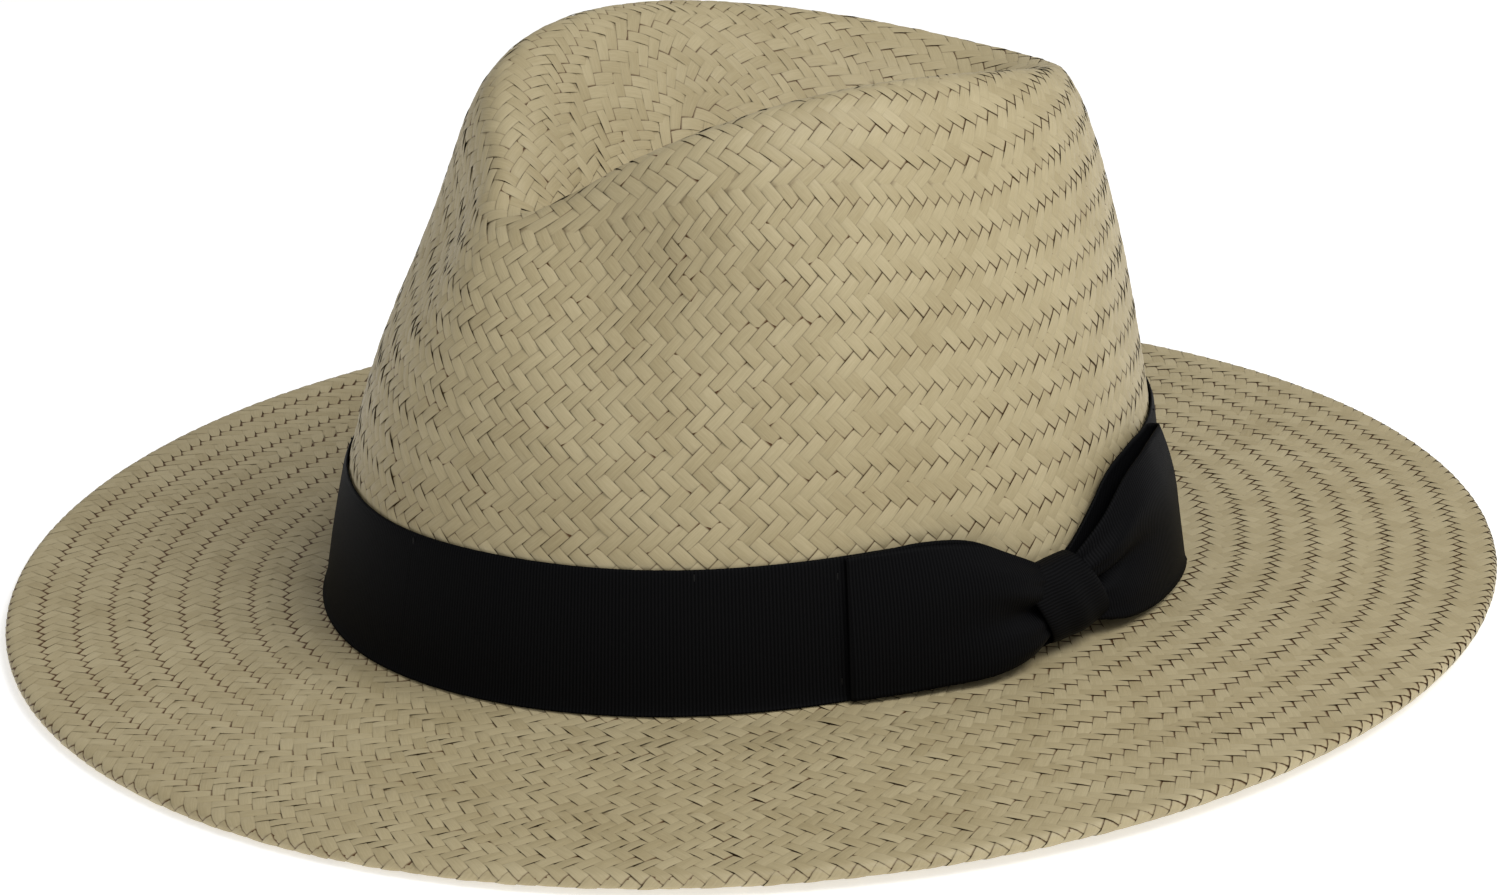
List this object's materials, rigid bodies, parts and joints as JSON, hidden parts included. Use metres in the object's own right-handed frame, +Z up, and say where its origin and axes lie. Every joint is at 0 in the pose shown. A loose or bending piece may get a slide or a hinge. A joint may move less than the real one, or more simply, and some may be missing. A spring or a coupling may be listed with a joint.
{
  "type": "panama hat",
  "caption": "Wide-brimmed woven straw fedora with a teardrop crease, a grosgrain band, a side bow and a sewn-in sweatband.",
  "frame": {"origin": "middle of the hat's footprint on the surface that the brim rests on", "axes": "+Z up; the wearer faces -Y; +X is the wearer's left, where the bow is"},
  "size_m": [0.332, 0.3566, 0.1278],
  "materials": {
    "straw": "satin",
    "wire": "satin",
    "straw_thread": "matte",
    "ribbon": "matte",
    "ribbon_thread": "matte",
    "sweatband": "matte",
    "label": "satin"
  },
  "bodies": {
    "hat": {"crown": "straw", "brim": "straw", "brim_hem": "straw", "hem_wire": "wire", "hem_stitches": "straw_thread", "hat_band": "ribbon", "band_tacks": "ribbon_thread", "bow_front_loop": "ribbon", "bow_rear_loop": "ribbon", "bow_knot": "ribbon", "bow_tacks": "ribbon_thread", "sweatband": "sweatband", "sweatband_stitches": "straw_thread", "sweatband_seam": "straw_thread"},
    "size_label": {"size_label": "label"},
    "care_label": {"care_label": "label"}
  },
  "joints": [
    {"name": "size_label_fold", "type": "hinge", "parent": "hat", "child": "size_label", "pos_m": [0.00066, 0.09561, 0.0344], "axis": [-1, 0, 0], "range_deg": [0, 150]},
    {"name": "care_label_fold", "type": "hinge", "parent": "hat", "child": "care_label", "pos_m": [0.04242, 0.08061, 0.0344], "axis": [-0.8039, 0.5947, 0], "range_deg": [0, 150]}
  ]
}
